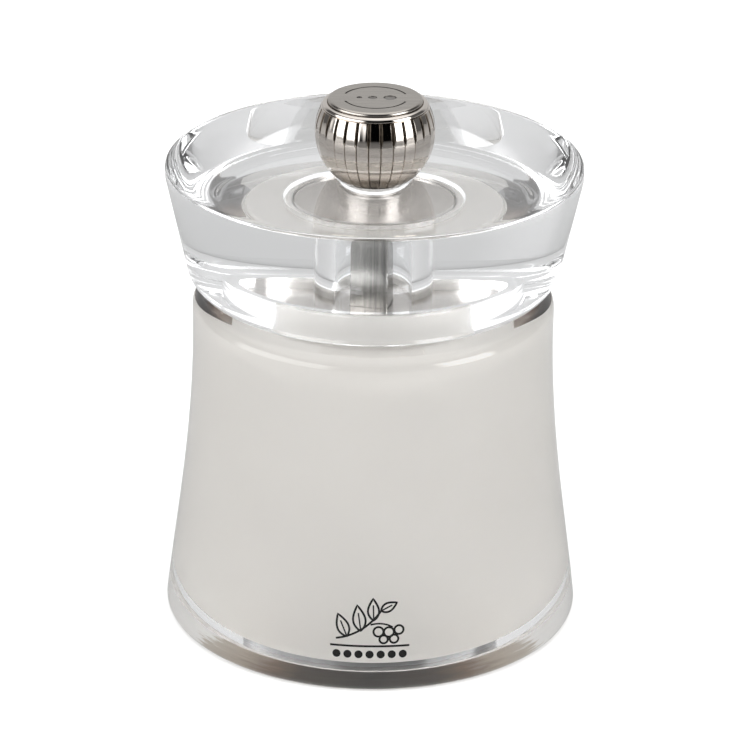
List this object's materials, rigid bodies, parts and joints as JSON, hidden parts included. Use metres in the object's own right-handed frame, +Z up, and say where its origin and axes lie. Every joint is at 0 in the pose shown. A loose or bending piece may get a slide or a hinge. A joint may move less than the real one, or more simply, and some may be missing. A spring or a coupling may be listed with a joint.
{
  "type": "pepper mill",
  "caption": "Short pepper mill with a clear dished turning head, a clear waisted casing over a white lining, a fluted ball knob and a steel burr mechanism.",
  "frame": {"origin": "centre of the circle that the mill stands on", "axes": "+Z up the drive shaft, -Y towards the printed front, +X to the right of the front"},
  "size_m": [0.0617, 0.0616, 0.08],
  "materials": {
    "clear_acrylic": "polished, clear",
    "white_lacquer": "satin warm white",
    "cream_plastic": "satin moulded",
    "burr_steel": "dark hardened, satin",
    "bright_steel": "bright, lightly brushed",
    "nickel_plate": "polished nickel plate",
    "brass": "turned",
    "print_ink": "flat printed ink"
  },
  "bodies": {
    "body": {"outer_casing": "clear_acrylic", "foot_ring": "bright_steel", "white_lining": "white_lacquer", "neck_collar": "white_lacquer", "burr_housing": "cream_plastic", "grinding_stator": "burr_steel", "base_plate": "bright_steel", "base_plate_screws": "bright_steel", "shaft_bridge": "bright_steel", "bridge_screws": "burr_steel"},
    "shaft_guide": {"shaft_guide_bush": "cream_plastic", "grinding_spring": "bright_steel"},
    "drive": {"drive_shaft": "bright_steel", "grinding_rotor": "burr_steel", "rotor_washer": "bright_steel", "rotor_nut": "bright_steel", "spring_seat": "bright_steel"},
    "head": {"head_block": "clear_acrylic", "drive_plate": "bright_steel"},
    "knob": {"knob_shell": "nickel_plate", "knob_thread_insert": "brass", "knob_top_disc": "nickel_plate"}
  },
  "joints": [
    {"name": "head_turn", "type": "hinge", "parent": "body", "child": "shaft_guide", "pos_m": [0, 0, 0.0212], "axis": [0, 0, 1], "continuous": true},
    {"name": "grind_adjust", "type": "slide", "parent": "shaft_guide", "child": "drive", "axis": [0, 0, 1], "range_m": [-0.0008, 0.0008], "deforming": ["grinding_spring"]},
    {"name": "head_lift", "type": "slide", "parent": "shaft_guide", "child": "head", "axis": [0, 0, 1], "range_m": [0, 0.03]},
    {"name": "knob_turn", "type": "hinge", "parent": "head", "child": "knob", "pos_m": [0, 0, 0.0749], "axis": [0, 0, 1], "range_deg": [-360, 360]}
  ],
  "couplings": [
    {"joint": "knob_turn", "follows": "grind_adjust", "rad_per_m": -7853.9}
  ]
}
